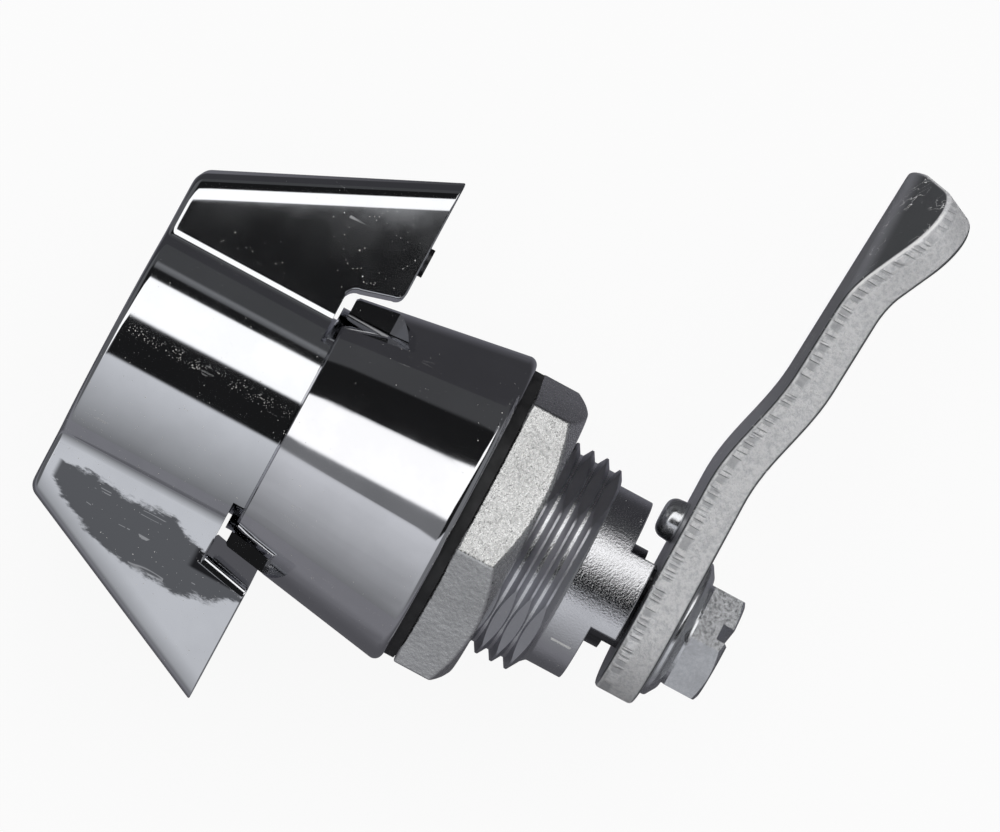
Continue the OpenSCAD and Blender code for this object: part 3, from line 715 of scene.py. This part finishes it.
housing = {"edge": 0.12, "steps": 3, "beyond": 8.8, "smoothAngle": 32}


def housingEdge(middle, normals):
    # the barrel's outer edges and the lugs; the cone and the bores keep CAD's edges
    return housing["edge"] if middle.y > 0 and middle.xz.length > housing["beyond"] else 0


thread = {"crest": 10.64, "root": 9.8, "base": 9.3, "pitch": 1.5, "start": 3.4, "end": 10.3, "crestWidth": 0.2,
          "fill": 0.97, "flats": 19.85, "turn": -6, "steps": 72, "runOut": 60}


def threadRidge():
    # one profile wound along the barrel, fading out at its end, then cut by its four flats
    tip, root, base = thread["crestWidth"] / 2, thread["root"], thread["base"]
    wide = (thread["pitch"] / 2 - tip) * thread["fill"]
    lowest, shoulder, thinnest = root - 0.1, root - 0.2, 0.1  # where the ridge has faded, just under the surface
    steps = int(thread["steps"] * (thread["end"] - thread["start"]) / thread["pitch"])
    fade = int(thread["steps"] * thread["runOut"] / 360)
    rings = []
    for k in range(steps + 1):
        keep = min(1, (steps - k) / fade)
        crest = lowest + (thread["crest"] - lowest) * keep
        foot = tip + wide * max(thinnest, keep)
        y = thread["start"] + thread["pitch"] * k / thread["steps"]
        angle = 2 * math.pi * k / thread["steps"]
        profile = ((base, -foot), (shoulder, -foot), (crest, -tip), (crest, tip), (shoulder, foot), (base, foot))
        rings.append([(r * math.cos(angle), y + along, r * math.sin(angle)) for r, along in profile])
    ridge = ringSolid("barrel_thread", rings)
    bpy.ops.object.select_all(action="DESELECT")
    bpy.ops.mesh.primitive_cube_add(size=1)
    flats = bpy.context.object
    flats.scale = (thread["flats"] * mm, 60 * mm, thread["flats"] * mm)
    flats.rotation_euler = (0, math.radians(45 + thread["turn"]), 0)
    bpy.ops.object.transform_apply(location=True, rotation=True, scale=True)
    cutAway(ridge, flats, "INTERSECT")
    return ridge


# materials
chrome = chromePaint("chromedCasting", (0.8, 0.81, 0.83), rough=0.05, dust=0.06, paintedGlintShare=0.45, patched=True)
chromeHousing = chromePaint("chromedHousing", (0.8, 0.8, 0.82), rough=0.05, dust=0.02, castFrom=1.5, mark=True)
chromeThread = chromePaint("chromedThread", (0.66, 0.66, 0.69), rough=0.2, dust=0.01, castFrom=1.5)
plugChrome = chromePaint("chromedPlug", (0.76, 0.76, 0.78), rough=0.12, dust=0.03)
galvanised = platedPaint("galvanisedNut", (0.97, 0.97, 0.96), rough=0.2, grain=0.02, pebbles=0.1)
plated = platedPaint("zincPlated", (0.86, 0.87, 0.89), rough=0.12, grain=0.004, metallic=0.95)
ground = platedPaint("groundSteel", (0.5, 0.5, 0.52), rough=0.25, grain=0.02)
brass = platedPaint("stampedBrass", (0.78, 0.6, 0.28), rough=0.22, grain=0.02)
camSteel = camPaint()
rubber = rubberPaint()
print("materials made")

# castings
wing = makeHandle()
smooth(wing)
showFor(wing, "wing_handle", chrome, "handle")
print("handle made")

body = mergedCopy("housing")
roundEdges(body, housing, housingEdge)
smooth(body, housing["smoothAngle"])
showFor(body, "housing", chromeHousing, "housing")
ridge = threadRidge()
smooth(ridge)
dress(ridge, chromeThread, "housing")
print("housing and thread made")

# nut, cam and its fasteners
nut = {"edge": 0.25, "steps": 3, "beyond": 12}
bolt = {"edge": 0.25, "steps": 3, "beyond": 3.4, "clamped": True}
washer = {"edge": 0.15, "steps": 2, "beyond": 3.4, "clamped": True}
stud = {"edge": 0.1, "steps": 2, "beyond": 0}
roundedCopy("fixing_nut", nut, galvanised, "housing")
camPiece = makeCam()
smooth(camPiece)
showFor(camPiece, "cam_lever", camSteel, "handle")
for node, sizes in (("cam_bolt", bolt), ("cam_washer", washer), ("stop_stud", stud)):
    roundedCopy(node, sizes, plated, "handle")
print("nut, cam and its fasteners made")

# the other CAD pieces keep their shape
finishes = {"panel_gasket": rubber, "stem_seal": rubber, "lock_plug": plugChrome, "plug_snap_ring": ground,
            "lock_bolt": ground}
for number in range(1, 6):
    finishes["wafer_%d" % number] = brass
    finishes["wafer_spring_%d" % number] = ground
for node, material in finishes.items():
    cover(frame["nodes"][node], material)
print("pieces dressed")

# camera at the photo's angle; focalPx is the focal length in pixels of the photo
shot = {"focalPx": 7700, "photoWidth": 1000, "camera": (-49, -18, 698), "aim": (-9.4, -1.84, 0), "roll": 28.3}


def placeCamera():
    eye = Vector(shot["camera"]) * mm
    forward = (Vector(shot["aim"]) * mm - eye).normalized()
    along = (Vector((0, 1, 0)) - forward * forward.y).normalized()
    across = along.cross(forward)
    roll = math.radians(shot["roll"])
    right = along * math.cos(roll) + across * math.sin(roll)
    up = across * math.cos(roll) - along * math.sin(roll)
    bpy.ops.object.camera_add(location=eye)
    camera = bpy.context.object
    camera.matrix_world = Matrix((
        (right.x, up.x, -forward.x, eye.x), (right.y, up.y, -forward.y, eye.y),
        (right.z, up.z, -forward.z, eye.z), (0, 0, 0, 1)))
    camera.data.sensor_width = 36
    camera.data.lens = shot["focalPx"] * camera.data.sensor_width / shot["photoWidth"]
    camera.data.clip_start = 0.05
    camera.data.clip_end = 20
    bpy.context.scene.camera = camera


# what glossy pieces see: one lamp between two slanting edges, a grey wall whose tone rises with the angle, a wall
# with a stripe, and plain walls in front and behind; edges are (place over the axis, slope along it)
studio = {"lamp": 1.28, "lampLow": (0.372, 1.5), "lampHigh": (1.5, 2.2), "lampEnds": (-0.6, 0.5), "lampSoft": 0.05,
          "endSoft": 0.06, "soft": 0.03, "greyEdge": (-0.325, 0.1), "greyFrom": -91, "greyLow": 0.2, "greyTop": 0.72,
          "greyPerDegree": 0.0068, "wall": 0.055, "wallAngle": 67, "wallSoft": 1.5, "stripe": 0.13,
          "stripeAngles": (63, 66, 69, 72), "stripeEnd": (-0.45, -0.25), "black": 0.012, "brown": 0.18,
          "brownEnd": (-0.12, -0.3), "brownSide": (0.1, -0.05), "frontWall": 0.12, "frontFrom": (-0.45, -0.62),
          "rearWall": 0.19, "rearFrom": (0.45, 0.6), "tint": (0.93, 0.95, 1.0, 1)}
# what matte pieces see: a plain level and one soft lamp
matteLight = {"low": 0.22, "lamp": 2.0, "focus": 5.0, "lampAt": (0.616, 0.788)}


def makeStudio():
    # the camera sees white
    world = bpy.data.worlds.new("studio")
    bpy.context.scene.world = world
    world.use_nodes = True
    world.cycles.sampling_method = "NONE"
    tree = world.node_tree
    direction = tree.nodes.new("ShaderNodeTexCoord")
    parts = tree.nodes.new("ShaderNodeSeparateXYZ")
    tree.links.new(direction.outputs["Generated"], parts.inputs[0])
    lateral = Wire(tree, parts.outputs["X"]) * -1.0
    lengthwise = Wire(tree, parts.outputs["Y"])
    upward = Wire(tree, parts.outputs["Z"])
    height = upward.calc("MAXIMUM", 0.03)
    across = lateral / height
    along = lengthwise / height
    angle = lateral.calc("ARCTAN2", upward) * (180 / math.pi)

    def edgeAt(line):
        return along * line[1] + line[0]

    soft, lampSoft, endSoft = studio["soft"], studio["lampSoft"], studio["endSoft"]
    lampStart, lampEnd = studio["lampEnds"]
    lamp = (across - edgeAt(studio["lampLow"])).ramp(-soft, soft) * upward.ramp(0.0, 0.05)
    lamp = lamp * (edgeAt(studio["lampHigh"]) - across).ramp(-lampSoft, lampSoft)
    lamp = lamp * along.within((lampStart - endSoft, lampStart + endSoft, lampEnd - endSoft, lampEnd + endSoft))
    wall = angle.ramp(studio["wallAngle"] - studio["wallSoft"], studio["wallAngle"] + studio["wallSoft"])
    stripe = angle.within(studio["stripeAngles"]) * along.ramp(*studio["stripeEnd"])
    grey = (edgeAt(studio["greyEdge"]) - across).ramp(-soft, soft)
    greyLevel = (angle - studio["greyFrom"]) * studio["greyPerDegree"] + studio["greyLow"]
    greyLevel = greyLevel.calc("MINIMUM", studio["greyTop"]).calc("MAXIMUM", studio["greyLow"])
    brown = along.ramp(*studio["brownEnd"]) * (1.0 - wall) * (1.0 - grey) * across.ramp(*studio["brownSide"])
    level = studio["black"] + brown * studio["brown"] + wall * studio["wall"] + stripe * studio["stripe"]
    level = (level + grey * greyLevel) * (1.0 - lamp) + lamp * studio["lamp"]
    front = lengthwise.ramp(*studio["frontFrom"])
    rear = lengthwise.ramp(*studio["rearFrom"])
    level = level * (1.0 - front) * (1.0 - rear) + front * studio["frontWall"] + rear * studio["rearWall"]
    lampX, lampZ = matteLight["lampAt"]
    toLamp = (lateral * lampX + upward * lampZ).calc("MAXIMUM", 0.0)
    matte = toLamp.calc("POWER", matteLight["focus"]) * matteLight["lamp"] + matteLight["low"]
    ray = tree.nodes.new("ShaderNodeLightPath")
    cameraRay = Wire(tree, ray.outputs["Is Camera Ray"])
    glossyRay = Wire(tree, ray.outputs["Is Glossy Ray"]) * (1.0 - cameraRay)
    strength = level * glossyRay + cameraRay + matte * (1.0 - cameraRay) * (1.0 - glossyRay)
    background = tree.nodes["Background"]
    tree.links.new(strength.socket, background.inputs["Strength"])
    tint = tree.nodes.new("ShaderNodeMix")
    tint.data_type = "RGBA"
    tint.inputs[6].default_value = (1, 1, 1, 1)
    tint.inputs[7].default_value = studio["tint"]
    tree.links.new((glossyRay * (1.0 - lamp)).socket, tint.inputs["Factor"])
    tree.links.new(tint.outputs[2], background.inputs["Color"])


# plain pale floor, white to the camera; metal shows it in soft bands across X, each (from, to, its tone)
table = {"size": 3000, "height": -17.5, "toCamera": 0.92, "pale": (0.9, 0.9, 0.9, 1), "rough": 0.9,
         "farTone": (0.045, 0.045, 0.05),
         "bands": ((-30, -14, (0.14, 0.14, 0.16)), (-12, 12, (0.09, 0.09, 0.1)), (25, 90, (0.21, 0.21, 0.23)))}


def makeFloor():
    # it keeps a soft shadow of the piece
    paint = Paint("paleFloor")
    ray = paint.node("ShaderNodeLightPath")
    mirrored = Wire(paint.tree, ray.outputs["Is Glossy Ray"])
    seen = Wire(paint.tree, ray.outputs["Is Camera Ray"]) * table["toCamera"] + mirrored
    x = paint.millimetres()[0]
    tone = table["farTone"]
    for start, end, nextTone in table["bands"]:
        tone = paint.mix(x.ramp(start, end), tone, nextTone)
    glow = paint.node("ShaderNodeEmission", Color=paint.mix(mirrored, (1.0, 1.0, 1.0), tone))
    blend = paint.node("ShaderNodeMixShader")
    for source, target in ((seen.socket, blend.inputs[0]), (paint.base.outputs[0], blend.inputs[1]),
                           (glow.outputs[0], blend.inputs[2]),
                           (blend.outputs[0], paint.tree.nodes["Material Output"].inputs[0])):
        paint.tree.links.new(source, target)
    paint.finish(Base_Color=table["pale"], Roughness=table["rough"])
    bpy.ops.object.select_all(action="DESELECT")
    bpy.ops.mesh.primitive_plane_add(size=table["size"] * mm, location=(0, 0, table["height"] * mm))
    floor = bpy.context.object
    floor.name = "table_top"
    floor.data.materials.append(paint.material)


placeCamera()
bpy.context.scene.view_settings.view_transform = "Standard"
makeStudio()
makeFloor()
print("camera and light set")
